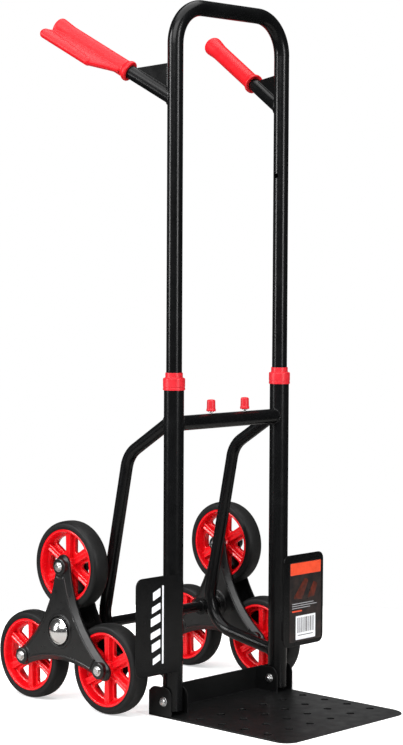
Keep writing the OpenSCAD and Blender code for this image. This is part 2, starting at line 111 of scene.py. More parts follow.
class Finish:
    """A Principled material and the few node patterns that the finishes share."""

    def __init__(self, name, metallic=0.0, sheen=0.0, ior=1.5, gloss=0.5):
        self.material = bpy.data.materials.new(name)
        self.material.use_nodes = True
        self.tree = self.material.node_tree
        self.shader = self.tree.nodes["Principled BSDF"]
        self.shader.inputs["Metallic"].default_value = metallic
        self.shader.inputs["Specular IOR Level"].default_value = gloss
        self.shader.inputs["Sheen Weight"].default_value = sheen
        self.shader.inputs["IOR"].default_value = ior
        self.place = self.add("ShaderNodeTexCoord").outputs["Object"]

    def add(self, kind, **settings):
        node = self.tree.nodes.new(kind)
        for key, value in settings.items():
            setattr(node, key, value)
        return node

    def feed(self, node, socket, value):
        if isinstance(value, bpy.types.NodeSocket):
            self.tree.links.new(value, node.inputs[socket])
        else:
            node.inputs[socket].default_value = value

    def noise(self, per_metre, detail=3.0, stretch=(1, 1, 1)):
        """A noise pattern; stretch above 1 along an axis makes it finer that way."""
        turn = self.add("ShaderNodeMapping")
        turn.inputs["Scale"].default_value = stretch
        self.feed(turn, "Vector", self.place)
        node = self.add("ShaderNodeTexNoise")
        self.feed(node, "Vector", turn.outputs["Vector"])
        self.feed(node, "Scale", per_metre)
        self.feed(node, "Detail", detail)
        self.feed(node, "Roughness", 0.55)
        return node.outputs["Fac"]

    def level(self, value, from_low, from_high, to_low=0.0, to_high=1.0):
        node = self.add("ShaderNodeMapRange")
        for socket, number in (("Value", value), ("From Min", from_low), ("From Max", from_high),
                               ("To Min", to_low), ("To Max", to_high)):
            self.feed(node, socket, number)
        return node.outputs["Result"]

    def times(self, a, b):
        node = self.add("ShaderNodeMath", operation="MULTIPLY")
        self.feed(node, 0, a)
        self.feed(node, 1, b)
        return node.outputs["Value"]

    def mix(self, share, a, b):
        node = self.add("ShaderNodeMix", data_type="RGBA")
        self.feed(node, "Factor", share)
        for socket, colour in ((6, a), (7, b)):
            self.feed(node, socket, (*colour, 1) if isinstance(colour, tuple) else colour)
        return node.outputs[2]

    def edges(self, start, full):
        """1 on convex edges, 0 on flat and hollow places."""
        return self.level(self.add("ShaderNodeNewGeometry").outputs["Pointiness"], start, full)

    def bump(self, height, strength, distance_mm):
        node = self.add("ShaderNodeBump")
        self.feed(node, "Height", height)
        self.feed(node, "Strength", strength)
        self.feed(node, "Distance", distance_mm * MM)
        return node.outputs["Normal"]

    def done(self, colour, roughness, normal):
        self.feed(self.shader, "Base Color", colour)
        self.feed(self.shader, "Roughness", roughness)
        self.feed(self.shader, "Normal", normal)
        return self.material


def painted_steel():
    """Semi-gloss black powder coat: faint clouds, hairline scratches and orange peel."""
    f = Finish("black_powder_coat", gloss=0.2)
    clouds = f.noise(22, detail=4)
    scratches = f.noise(160, detail=2, stretch=(5, 5, 0.25))
    colour = f.mix(f.level(clouds, 0.35, 0.75), (0.0025, 0.0026, 0.0028), (0.0045, 0.0047, 0.005))
    colour = f.mix(f.level(scratches, 0.76, 0.82, 0, 0.2), colour, (0.012, 0.012, 0.0125))
    peel = f.bump(f.noise(520, detail=2), 0.012, 0.1)
    return f.done(colour, f.level(f.noise(60, detail=4), 0.3, 0.7, 0.21, 0.28), peel)


def deck_steel():
    """The toe plate's coarser coat, scuffed where loads slide."""
    f = Finish("black_deck_coat", gloss=0.22)
    clouds = f.noise(16, detail=5)
    scuffs = f.level(f.noise(70, detail=5, stretch=(0.5, 3.5, 1)), 0.62, 0.78, 0, 0.55)
    colour = f.mix(f.level(clouds, 0.3, 0.75), (0.0028, 0.0029, 0.003), (0.0048, 0.005, 0.0052))
    colour = f.mix(scuffs, colour, (0.008, 0.008, 0.0084))
    rubbed = f.times(f.edges(0.56, 0.66), f.level(f.noise(240), 0.45, 0.7))
    colour = f.mix(f.times(rubbed, 0.4), colour, (0.08, 0.08, 0.083))
    grit = f.bump(f.noise(1200, detail=3), 0.12, 0.1)
    return f.done(colour, f.level(f.noise(55, detail=4), 0.3, 0.7, 0.36, 0.48), grit)


def moulded_black():
    """Satin black moulded plastic with a fine spark-eroded grain."""
    f = Finish("black_moulded_plastic", gloss=0.42)
    clouds = f.level(f.noise(30, detail=4), 0.3, 0.75)
    colour = f.mix(clouds, (0.0032, 0.0032, 0.0034), (0.006, 0.006, 0.0063))
    rubbed = f.times(f.edges(0.56, 0.66), f.level(f.noise(300), 0.45, 0.7))
    colour = f.mix(f.times(rubbed, 0.2), colour, (0.045, 0.045, 0.047))
    grain = f.bump(f.noise(1500, detail=2), 0.08, 0.08)
    return f.done(colour, f.level(f.noise(110, detail=4), 0.3, 0.7, 0.26, 0.36), grain)


def red_plastic(name, colour, deep, rough_low, rough_high, grain, sheen=0.0, gloss=0.3):
    """Moulded red plastic: slight flow marks, soft scuffs on the edges."""
    f = Finish(name, sheen=sheen, ior=1.48, gloss=gloss)
    if sheen:
        f.shader.inputs["Sheen Roughness"].default_value = 0.4
        f.shader.inputs["Sheen Tint"].default_value = (1.0, 0.75, 0.75, 1)
    flow = f.noise(26, detail=5, stretch=(1, 1, 2.2))
    tone = f.mix(f.level(flow, 0.3, 0.75), deep, colour)
    worn = f.times(f.edges(0.53, 0.62), f.level(f.noise(260), 0.45, 0.7))
    tone = f.mix(f.times(worn, 0.3), tone, tuple(min(1.0, c * 1.15 + 0.05) for c in colour))
    rough = f.level(f.noise(120, detail=4), 0.3, 0.7, rough_low, rough_high)
    return f.done(tone, rough, f.bump(f.noise(grain, detail=2), 0.06, 0.08))


def tyre_rubber():
    """Grey-black rubber with dust in its pores."""
    f = Finish("tyre_rubber", gloss=0.22)
    clouds = f.level(f.noise(35, detail=5), 0.3, 0.75)
    colour = f.mix(clouds, (0.0035, 0.0035, 0.0037), (0.006, 0.006, 0.0061))
    dust = f.level(f.noise(420, detail=4), 0.58, 0.8, 0, 0.3)
    colour = f.mix(dust, colour, (0.018, 0.0177, 0.0172))
    pores = f.bump(f.noise(1300, detail=4), 0.3, 0.15)
    return f.done(colour, f.level(f.noise(90, detail=5), 0.3, 0.7, 0.42, 0.6), pores)


def tyre_tread():
    """The crown of the tyre, scuffed paler and rougher than its walls."""
    f = Finish("tyre_tread", gloss=0.25)
    clouds = f.level(f.noise(40, detail=6), 0.3, 0.75)
    scuffs = f.level(f.noise(600, detail=3), 0.58, 0.8, 0, 0.3)
    colour = f.mix(clouds, (0.004, 0.004, 0.0041), (0.008, 0.0079, 0.0078))
    colour = f.mix(scuffs, colour, (0.03, 0.029, 0.028))
    pores = f.bump(f.noise(1100, detail=4), 0.45, 0.2)
    return f.done(colour, f.level(f.noise(90, detail=5), 0.3, 0.7, 0.5, 0.68), pores)


def zinc_plate():
    """Bright zinc on steel, cloudy, with a faint warm passivation."""
    f = Finish("zinc_plate", metallic=1.0)
    cloud = f.level(f.noise(170, detail=5), 0.3, 0.7)
    colour = f.mix(cloud, (0.62, 0.63, 0.66), (0.82, 0.81, 0.78))
    brushed = f.bump(f.noise(900, detail=2, stretch=(1, 1, 6)), 0.15, 0.05)
    return f.done(colour, f.level(f.noise(260, detail=4), 0.3, 0.7, 0.2, 0.36), brushed)


def bright_chrome():
    """Polished plating with faint hairlines round the dome."""
    f = Finish("bright_chrome", metallic=1.0)
    colour = f.mix(f.level(f.noise(60, detail=3), 0.3, 0.7), (0.83, 0.83, 0.84), (0.93, 0.93, 0.92))
    hairlines = f.level(f.noise(700, detail=2, stretch=(1, 5, 1)), 0.4, 0.8, 0.17, 0.21)
    return f.done(colour, hairlines, f.bump(f.noise(900, detail=1), 0.001, 0.1))


def printed(name, colour, shade, rough=0.4):
    """Ink or film on a flat face: even colour, slight mottling and paper grain."""
    f = Finish(name, ior=1.45, gloss=0.25)
    tone = f.mix(f.level(f.noise(90, detail=5), 0.35, 0.7), colour, shade)
    fibres = f.bump(f.noise(2200, detail=2), 0.06, 0.05)
    return f.done(tone, f.level(f.noise(240, detail=3), 0.3, 0.7, rough - 0.05, rough + 0.1), fibres)


STEEL = painted_steel()
DECK = deck_steel()
PLASTIC = moulded_black()
WHEEL_RED = red_plastic("red_wheel_plastic", (0.74, 0.004, 0.009), (0.60, 0.002, 0.006),
                        rough_low=0.2, rough_high=0.3, grain=900, gloss=0.4)
GRIP_RED = red_plastic("red_grip_rubber", (0.66, 0.008, 0.015), (0.56, 0.005, 0.010),
                       rough_low=0.34, rough_high=0.46, grain=1200, sheen=0.02, gloss=0.25)
TRIM_RED = red_plastic("red_trim_plastic", (0.62, 0.022, 0.032), (0.54, 0.015, 0.023),
                       rough_low=0.3, rough_high=0.42, grain=1400, gloss=0.35)
RUBBER = tyre_rubber()
TREAD = tyre_tread()
# Near-black for the discs set low in the deck's holes: painted shade standing in for the shadowed floor seen
# through them, not a finish of the steel.
PAINTED_HOLE_SHADE = printed("painted_hole_shade", (0.002, 0.002, 0.002), (0.004, 0.004, 0.004), 0.6)
ZINC = zinc_plate()
CHROME = bright_chrome()
LABEL_FILM = printed("label_film", (0.012, 0.011, 0.011), (0.03, 0.02, 0.018), 0.32)
LABEL_ORANGE = printed("label_orange", (0.75, 0.075, 0.028), (0.62, 0.055, 0.02), 0.32)
LABEL_EMBER = printed("label_ember", (0.10, 0.018, 0.01), (0.02, 0.012, 0.01), 0.32)
PRINT_WHITE = printed("print_white", (0.80, 0.81, 0.83), (0.70, 0.71, 0.73), 0.36)
PRINT_GREY = printed("print_grey", (0.33, 0.33, 0.34), (0.24, 0.24, 0.25), 0.36)


# ---- Mesh tools ----

TURNED_ROUND = Matrix.Diagonal((1, 1, -1, 1))
BOLT_AF, BOLT_R = 10, 2.9


def piece(name, bm, finishes, body, replaces=(), sharp=32, flat_bias=True):
    """Turns a bmesh into a smooth-shaded piece that rides on a body."""
    bmesh.ops.remove_doubles(bm, verts=bm.verts, dist=1e-6)
    bmesh.ops.dissolve_degenerate(bm, edges=bm.edges, dist=1e-7)
    bmesh.ops.recalc_face_normals(bm, faces=bm.faces)
    mesh = bpy.data.meshes.new(name)
    bm.to_mesh(mesh)
    bm.free()
    mesh.shade_smooth()
    mesh.set_sharp_from_angle(angle=math.radians(sharp))
    for finish in finishes if isinstance(finishes, (list, tuple)) else [finishes]:
        mesh.materials.append(finish)
    ob = bpy.data.objects.new(name, mesh)
    scene.collection.objects.link(ob)
    if flat_bias:
        bias = ob.modifiers.new("flat_faces", "WEIGHTED_NORMAL")
        bias.keep_sharp = True
        bias.weight = 60
    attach(ob, body)
    if replaces:
        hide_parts(*replaces)
    return ob


def on_side(side, y=0.0, z=0.0, w=0.0):
    """Places a drawing made in (y, z, w) on one side of the truck; w points outward."""
    return Matrix(((0, 0, side, side * w), (1, 0, 0, y), (0, 1, 0, z), (0, 0, 0, 1)))


def upright_at(x, y=0.0):
    """Places a turned drawing on a vertical axis."""
    return Matrix.Translation((x, y, 0))


def rod(radius, bottom, top, tip=0.0):
    """A solid bar's profile for lathe, its lower rim rounded by tip."""
    return soften([(0, bottom, 0), (radius, bottom, tip), (radius, top, 0), (0, top, 0)])


def arc(centre, radius, first, last, steps):
    """Points on a circle, with the angles in degrees."""
    turns = (math.radians(first + (last - first) * i / steps) for i in range(steps + 1))
    return [Vector((centre[0] + radius * math.cos(t), centre[1] + radius * math.sin(t))) for t in turns]


def soften(corners, steps=5, closed=True):
    """Rounds an outline's corners, each given as (x, y, radius)."""
    out = []
    count = len(corners)
    for i, (x, y, radius) in enumerate(corners):
        p = Vector((x, y))
        if radius <= 0 or (not closed and i in (0, count - 1)):
            out.append(p)
            continue
        before = Vector(corners[i - 1][:2]) - p
        after = Vector(corners[(i + 1) % count][:2]) - p
        corner = before.angle(after)
        if math.pi - corner < 0.01:
            out.append(p)
            continue
        cut = min(radius / math.tan(corner / 2), 0.48 * before.length, 0.48 * after.length)
        r = cut * math.tan(corner / 2)
        centre = p + (before.normalized() + after.normalized()).normalized() * (r / math.sin(corner / 2))
        start = p + before.normalized() * cut - centre
        stop = p + after.normalized() * cut - centre
        first = math.atan2(start.y, start.x)
        turn = (math.atan2(stop.y, stop.x) - first + math.pi) % (2 * math.pi) - math.pi
        for k in range(steps + 1):
            t = first + turn * k / steps
            out.append(centre + Vector((math.cos(t), math.sin(t))) * r)
    return out


def rectangle(x0, x1, y0, y1, radius=0.0):
    return soften([(x0, y0, radius), (x1, y0, radius), (x1, y1, radius), (x0, y1, radius)])


def skin(bm, rings, place, closed_along=False, caps=True, index=0):
    """Joins rings of equally many (x, y, z) points into a surface."""
    made = [[bm.verts.new((place @ Vector(p)) * MM) for p in ring] for ring in rings]
    count = len(made[0])
    faces = []
    stretches = len(made) if closed_along else len(made) - 1
    for i in range(stretches):
        a, b = made[i], made[(i + 1) % len(made)]
        for k in range(count):
            m = (k + 1) % count
            faces.append(bm.faces.new((a[k], a[m], b[m], b[k])))
    if caps and not closed_along:
        faces.append(bm.faces.new(list(reversed(made[0]))))
        faces.append(bm.faces.new(made[-1]))
    for f in faces:
        f.material_index = index


def lathe(bm, profile, place, steps=72, closed=True, index=0):
    """Turns a profile of (radius, height) points round the local Z axis."""
    turns = [2 * math.pi * i / steps for i in range(steps)]
    profile = [(max(r, LEAST_R), h) for r, h in profile]
    rings = [[(r * math.cos(t), r * math.sin(t), h) for t in turns] for r, h in profile]
    skin(bm, rings, place, closed_along=closed, caps=not closed, index=index)


def slab(bm, outlines, place, bottom, top, edge, index=0):
    """A flat plate from outlines, the later ones being holes, with its edges rounded off."""
    curve = bpy.data.curves.new("outline", "CURVE")
    curve.dimensions = "2D"
    curve.fill_mode = "BOTH"
    for outline in outlines:
        spline = curve.splines.new("POLY")
        spline.points.add(len(outline) - 1)
        for point, p in zip(spline.points, outline):
            point.co = (p[0], p[1], 0, 1)
        spline.use_cyclic_u = True
    curve.extrude = (top - bottom) / 2 - edge
    curve.bevel_depth = edge
    curve.bevel_resolution = 2
    curve.offset = -edge
    holder = bpy.data.objects.new("outline", curve)
    mesh = bpy.data.meshes.new_from_object(holder)
    mesh.transform(Matrix.Translation((0, 0, (top + bottom) / 2)))
    mesh.transform(Matrix.Scale(MM, 4) @ place)
    first = len(bm.faces)
    bm.from_mesh(mesh)
    bm.faces.ensure_lookup_table()
    for f in bm.faces[first:]:
        f.material_index = index
    bpy.data.objects.remove(holder)
    bpy.data.curves.remove(curve)
    bpy.data.meshes.remove(mesh)


def sweep(bm, path, radius, place, closed=False, sides=10, normal=None):
    """A bead along a path of (x, y, z) points; radius may be a function of the share of the way."""
    points = [Vector(p) for p in path]
    count = len(points)
    rings = []
    for i, p in enumerate(points):
        before = points[i - 1] if closed or i else p
        after = points[(i + 1) % count] if closed or i < count - 1 else p
        ahead = (after - before).normalized()
        up = Vector(normal) if normal else ahead.orthogonal().normalized()
        if normal is None and rings:
            up = (last_up - ahead * last_up.dot(ahead)).normalized()
        last_up = up
        across = ahead.cross(up).normalized()
        r = radius(i / count) if callable(radius) else radius
        rings.append([p + across * (r * math.cos(t)) + up * (r * math.sin(t))
                      for t in (2 * math.pi * k / sides for k in range(sides))])
    skin(bm, rings, place, closed_along=closed, caps=not closed)


def hexagon(across_flats, per_side=4):
    """A hexagon's outline with extra points along each side for the chamfer to bend."""
    corner = across_flats / math.sqrt(3)
    points = []
    for k in range(6):
        a = Vector((math.cos(math.radians(60 * k)), math.sin(math.radians(60 * k)))) * corner
        b = Vector((math.cos(math.radians(60 * k + 60)), math.sin(math.radians(60 * k + 60)))) * corner
        points += [a.lerp(b, i / per_side) for i in range(per_side)]
    return points


def hex_head(bm, place, across_flats, height, washer=0.0):
    """A bolt head or nut standing on the local plane z = 0, its corners chamfered."""
    outline = hexagon(across_flats)
    pad = 1.0 if washer else 0.0
    if washer:
        hole = across_flats * 0.3
        disc = soften([(hole, 0, 0), (washer / 2, 0, 0), (washer / 2, pad, 0.4), (hole, pad, 0)])
        lathe(bm, disc, place, steps=32)
    chamfer = 0.14 * height
    rings = [[(p.x, p.y, pad) for p in outline], [(p.x, p.y, height - 2 * chamfer) for p in outline]]
    for reach, h in ((1.0, height - chamfer), (0.95, height - 0.3 * chamfer), (0.84, height)):
        limit = reach * across_flats / 2 * 1.02
        rings.append([(*(p if p.length <= limit else p.normalized() * limit), h) for p in outline])
    rings.append([(p.x * 0.2, p.y * 0.2, height) for p in outline])
    skin(bm, rings, place)


# ---- Wheel clusters ----

AXLE = middle("cluster_axle")
# The wheel bolts' distance from the axle, and the arms' directions in degrees
ARM = 98.0
ARM_ANGLES = (90, 210, 330)
SHELL_BACK = low("right_outer_spider").x
SHELL_FACE = high("right_outer_spider").x
INNER_BACK = high("right_inner_spider").x
SHELL_T = SHELL_FACE - SHELL_BACK
SHOULDER = SHELL_T - 2.4
# An arm's round end and its centre, and the distance from the axle to the hollow between arms
END_R, END_AT, WAIST_R = 13.8, 102.0, 46.0
CURVE_AT = (END_AT ** 2 - (WAIST_R - END_R) ** 2) / (END_AT - 2 * (WAIST_R - END_R))
CURVE_R = CURVE_AT - WAIST_R
TANGENT = math.degrees(math.atan2(CURVE_AT * math.sin(math.radians(60)), CURVE_AT / 2 - END_AT))


def polar(radius, degrees):
    """A point on a circle about the cluster's axle."""
    return Vector((math.cos(math.radians(degrees)), math.sin(math.radians(degrees)))) * radius


def hollow_arc(angle, inset, steps):
    """The hollow edge between the arm at this angle and the next one."""
    first, last = angle + 180 + TANGENT, angle + 300 - TANGENT
    return arc(polar(CURVE_AT, angle + 60), CURVE_R + inset, first, last, steps)


def spider_outline(inset):
    """Three bullet-ended arms joined by three hollow arcs."""
    out = []
    for angle in ARM_ANGLES:
        out += arc(polar(END_AT, angle), END_R - inset, angle - TANGENT, angle + TANGENT, 22)
        out += hollow_arc(angle, inset, 34)[1:-1]
    return out


def panel_outline(inset, reach):
    """The sunk panel: hollow arcs that stop short of the bolts, joined across each arm."""
    out = []
    for angle in ARM_ANGLES:
        bolts = (polar(ARM, angle), polar(ARM, angle + 120))
        hollow = [p for p in hollow_arc(angle, inset, 60)
                  if min((p - bolt).length for bolt in bolts) > reach]
        corner = hollow[0] - bolts[0]
        last = math.degrees(math.atan2(corner.y, corner.x))
        half = (angle + 180 - last + 180) % 360 - 180
        out += arc(bolts[0], reach, angle + 180 + half, angle + 180 - half, 10)[1:-1] + hollow
    return out


def rounded_loop(points):
    """Cuts the corners of a closed loop a little."""
    out = []
    for i, p in enumerate(points):
        q = points[(i + 1) % len(points)]
        out += [p.lerp(q, 0.25), p.lerp(q, 0.75)]
    return out


def circle(radius, steps=64, centre=(0, 0)):
    """A closed round outline, without its first point repeated."""
    return arc(centre, radius, 0, 360 * (steps - 1) / steps, steps - 1)


def make_spider(side, part):
    """Outer shells face outward; the inner ones are the same moulding turned round."""
    at = on_side(SIDES[side], AXLE.y, AXLE.z, SHELL_BACK)
    if part == "inner":
        at = on_side(SIDES[side], AXLE.y, AXLE.z, INNER_BACK) @ TURNED_ROUND
    bm = bmesh.new()
    hub = 23.0 if part == "outer" else 14.0
    slab(bm, [spider_outline(6.5), circle(hub)], at, 0, SHOULDER, 0.6)
    flank = soften([(0, 0, 0), (0, 3.2, 1.5), (7.0, SHOULDER, 2.0), (9, SHOULDER - 0.2, 0), (9, 0, 0)],
                   steps=4)
    skin(bm, [[(p.x, p.y, h) for p in spider_outline(inset)] for inset, h in flank], at, closed_along=True)
    path = rounded_loop(panel_outline(8.6, 17.5))
    slab(bm, [path, circle(hub + 1.5)], at, SHOULDER - 1, SHOULDER + 0.5, 0.25)
    sweep(bm, [(p.x, p.y, SHOULDER - 0.2) for p in path], 1.9, at, closed=True, sides=12, normal=(0, 0, 1))
    for angle in ARM_ANGLES:
        centre = polar(ARM, angle)
        boss = soften([(3.1, 2, 0), (13.2, 2, 0), (12.8, SHELL_T, 1.8), (3.1, SHELL_T, 0)])
        lathe(bm, boss, at @ Matrix.Translation((centre.x, centre.y, 0)), steps=48)
    if part == "outer":
        ring = soften([(22.9, 7.0, 0), (22.9, SHELL_T - 0.2, 0.8), (25.6, SHELL_T - 0.2, 1.2),
                       (27.6, SHOULDER - 0.5, 0)])
        lathe(bm, ring, at, steps=96)
        lathe(bm, soften([(10.1, 0.4, 0), (10.1, 8, 0), (23.2, 8, 0), (23.2, 0.4, 0)]), at, steps=72)
        for k in range(12):
            tick = at @ Matrix.Rotation(math.radians(30 * k + 15), 4, "Z")
            slab(bm, [rectangle(19.4, 22.6, -0.7, 0.7)], tick, 7.5, 9.0, 0.3)
    else:
        hub_rings = soften([(10.1, 0.4, 0), (10.1, SHELL_T - 0.3, 0.6), (13.2, SHELL_T - 0.3, 0.9),
                            (14.6, SHOULDER, 0.6), (18.6, SHOULDER, 0.6), (20.0, SHELL_T - 0.2, 0.9),
                            (23.4, SHELL_T - 0.2, 1.2), (25.2, SHOULDER - 0.5, 0), (25.2, 0.4, 0)])
        lathe(bm, hub_rings, at, steps=96)
        for k in range(9):
            tick = at @ Matrix.Rotation(math.radians(40 * k), 4, "Z")
            slab(bm, [rectangle(14.6, 18.8, -1.6, 1.6)], tick, SHOULDER - 0.6, SHOULDER + 1.1, 0.35)
    piece(f"{side}_{part}_shell", bm, PLASTIC, f"{side}_cluster",
          [f"{side}_{part}_spider"])


def make_hub_cap(side):
    """Pressed dome on a short skirt with a rolled rim; hollow inside, over the axle nut."""
    skirt, steps = 3.4, 16
    radius = span("right_hub_cap").y / 2 + 1.4
    height = span("right_hub_cap").x
    ball = (radius ** 2 + height ** 2) / (2 * height)
    middle_h = skirt + height - ball
    start = math.asin((radius - 1.3) / ball)
    outer = []
    for i in range(steps + 1):
        t = start * (1 - i / steps)
        outer.append((ball * math.sin(t), middle_h + ball * math.cos(t)))
    inner = [(max(0.0, r - 0.9) * 0.95, h - 1.1) for r, h in reversed(outer)]
    rolled = soften([(radius - 2.2, 0, 0), (radius, 0, 0.3), (radius, skirt + 1.5, 0.6),
                     (radius - 1.3, skirt + 1.75, 0.3)], closed=False)
    at = on_side(SIDES[side], AXLE.y, AXLE.z, low("right_hub_cap").x)
    bm = bmesh.new()
    lathe(bm, [*rolled, *outer[1:], *inner[:-2]], at, steps=96)
    piece(f"{side}_chrome_dome", bm, CHROME, f"{side}_cluster", [f"{side}_hub_cap"], sharp=40)


def make_wheel_bolts(side):
    """Three bolts through both shells: washer and hexagon head outside, lock nut inside."""
    bm = bmesh.new()
    inner_face = low("right_inner_spider").x
    for k, angle in enumerate(ARM_ANGLES):
        centre = polar(ARM, angle)
        turned = Matrix.Rotation(math.radians(17 * k + 8), 4, "Z")
        at = on_side(SIDES[side], AXLE.y + centre.x, AXLE.z + centre.y, 0)
        head = at @ Matrix.Translation((0, 0, SHELL_FACE)) @ turned
        nut = at @ Matrix.Translation((0, 0, inner_face)) @ TURNED_ROUND @ turned
        hex_head(bm, head, BOLT_AF, 4, washer=15)
        hex_head(bm, nut, BOLT_AF, 5, washer=15)
        lathe(bm, rod(BOLT_R, inner_face - 6.6, SHELL_FACE + 1, tip=0.6), at, steps=24)
    piece(f"{side}_axle_bolts", bm, ZINC, f"{side}_cluster", [f"{side}_wheel_bolts"])


# ---- Wheels ----

RIM_R = span("right_top_rim").z / 2
TYRE_R = span("right_top_tyre").z / 2
HALF_W = span("right_top_tyre").x / 2
SPOKES = 6


def other_face(half):
    """A half profile seen from the wheel's other face, in the opposite order."""
    return [(r, -h) for r, h in reversed(half)]


def make_wheel(side, which):
    """Red rim with six ridged spokes and a bored hub, and the tyre round it."""
    centre = middle(f"{side}_{which}_rim")
    body = f"{side}_{which}_wheel"
    at = on_side(SIDES[side], centre.y, centre.z, abs(centre.x))
    w = HALF_W

    bm = bmesh.new()
    lip = soften([(RIM_R, 0, 0), (RIM_R, w - 0.1, 1.6), (RIM_R - 3.7, w - 0.1, 1.3),
                  (RIM_R - 4.9, w - 3.2, 2.0), (RIM_R - 7.3, 3.2, 2.5), (RIM_R - 10, 3.0, 0)],
                 steps=4, closed=False)
    lathe(bm, [*lip, *other_face(lip[1:])], at, steps=112)
    window = soften([(23.5, -2.6, 1.8), (44.0, -13.6, 3.4), (46.6, 0, 30), (44.0, 13.6, 3.4),
                     (23.5, 2.6, 1.8)])
    turns = [Matrix.Rotation(math.radians(60 * k), 2) for k in range(SPOKES)]
    slab(bm, [circle(RIM_R - 8.2, 96), *([turn @ p for p in window] for turn in turns)], at, -3, 3, 1.0)
    ridge = [(5.6, 1.5), (5.1, 7.9), (4.5, 8.7), (3.4, 9.0), (2.3, 8.7), (1.2, 7.9)]
    upper = [*ridge, *((-t, h) for t, h in reversed(ridge))]
    section = [*upper, *((t, -h) for t, h in reversed(upper))]
    for k in range(SPOKES):
        turn = at @ Matrix.Rotation(math.radians(30 + 60 * k), 4, "Z")
        skin(bm, [[(reach, t * wide, h) for t, h in section]
                  for reach, wide in ((10.5, 0.92), (30, 0.96), (RIM_R - 6.2, 1.04))], turn)
    bore = 3.15
    hub = soften([(bore, 0, 0), (bore, w, 0.4), (7.2, w, 0.5), (7.9, w - 1.4, 0.4), (11.2, w - 1.4, 1.0),
                  (13, w - 5, 1.5), (13.4, 0, 0)], steps=4, closed=False)
    lathe(bm, [*hub, *other_face(hub[1:-1])], at, steps=64)
    piece(f"{side}_{which}_wheel_centre", bm, WHEEL_RED, body, [f"{side}_{which}_rim"],
          sharp=38)

    bm = bmesh.new()
    crown, steps = [], 14
    for i in range(steps + 1):
        t = math.radians(90 * i / steps)
        crown.append((RIM_R + 4 + (TYRE_R - RIM_R - 4) * math.cos(t) ** 0.55, w * math.sin(t) ** 0.8))
    side_wall = [(RIM_R + 3.2, w), (RIM_R + 2.8, w - 0.55), (RIM_R + 2.0, w - 0.55), (RIM_R + 1.6, w),
                 (RIM_R + 0.3, w - 0.1), (RIM_R - 0.1, w - 0.7)]
    half = [*crown, *side_wall]
    lathe(bm, [*other_face(half[1:]), *half], at, steps=128)
    for f in bm.faces:
        spot = f.calc_center_median() / MM
        out = math.hypot(spot.y - centre.y, spot.z - centre.z)
        if out > TYRE_R - 1.2:
            f.material_index = 1
    piece(f"{side}_{which}_tread_band", bm, [RUBBER, TREAD], body, [f"{side}_{which}_tyre"],
          sharp=40)


# ---- Handle, grips and locks ----

UPRIGHT_X = middle("right_upright").x
UPRIGHT_R = span("right_upright").x / 2
HANDLE_R = span("handle_bow").y / 2 - 0.1
# The grip stubs leave the handle at this height, rising and splaying by these degrees
STUB_Z, STUB_R, STUB_RISE, STUB_SPLAY = 914.0, 10.25, 30.0, 15.0
# Along the stub, from the handle tube's axis
GRIP_START, GRIP_LEN = 88.0, 146.0
# How far the knuckle guard leans outward from straight below the grip
GUARD_LEAN = math.atan2(15, 30)


def splayed(side):
    """The handle tube's axis, turned to the vertical plane of its side grip."""
    mirror = Matrix.Diagonal((SIDES[side], 1, 1, 1))
    return mirror @ upright_at(UPRIGHT_X) @ Matrix.Rotation(math.radians(-STUB_SPLAY), 4, "Z")


def stub_axis(side):
    """The side grip's own axis as local +Z."""
    lift = Matrix.Rotation(math.radians(-(90 - STUB_RISE)), 4, "X")
    return splayed(side) @ Matrix.Translation((0, 0, STUB_Z)) @ lift


def make_grip(side):
    """Moulded sleeve with a flared ring at each end and a knuckle guard along its outer, lower edge."""
    bm = bmesh.new()
    near, far = GRIP_START, GRIP_START + GRIP_LEN
    at = stub_axis(side)
    profile = soften([(10, near, 0), (15.8, near, 1.5), (15.8, near + 5, 2.2), (13.0, near + 9.5, 4),
                      (13.0, near + 30, 30), (13.2, far - 26, 30), (15.2, far - 6, 8), (15.2, far, 3.2),
                      (0, far, 0), (0, far - 4, 0), (10, far - 4, 0)])
    lathe(bm, profile, at, steps=72)
    blade = at @ Matrix.Rotation(GUARD_LEAN, 4, "Z") @ Matrix.Rotation(math.radians(90), 4, "X")
    web = soften([(4, near + 8, 0), (13, near + 10, 14), (38.6, far - 94, 14), (38, far + 4, 6),
                  (23, far + 4, 6), (18, far - 3, 6), (4, far - 3, 0)], steps=8)
    slab(bm, [web], blade, -4.4, 4.4, 3.4)
    lobe = soften([(25, far - 54, 14), (30, far - 97, 9), (39.5, far - 95, 13), (39.5, far + 6, 8),
                   (23, far + 6, 7), (21, far - 8, 10)], steps=8)
    slab(bm, [lobe], blade, -6.0, 6.0, 5.0)
    brow = [(12, near + 14, 0), (22, near + 34, 0), (32, far - 86, 0), (33.4, far - 56, 0)]
    sweep(bm, brow, lambda share: 4.2 + 1.6 * share, blade, sides=20)
    sleeve = piece(f"{side}_grip_sleeve", bm, GRIP_RED, "handle", [f"{side}_grip"],
                   flat_bias=False)
    merge = sleeve.modifiers.new("one_skin", "REMESH")
    merge.mode = "VOXEL"
    merge.voxel_size = 0.75 * MM
    merge.use_smooth_shade = True
    ease = sleeve.modifiers.new("eased", "SMOOTH")
    ease.factor = 0.5
    ease.iterations = 14


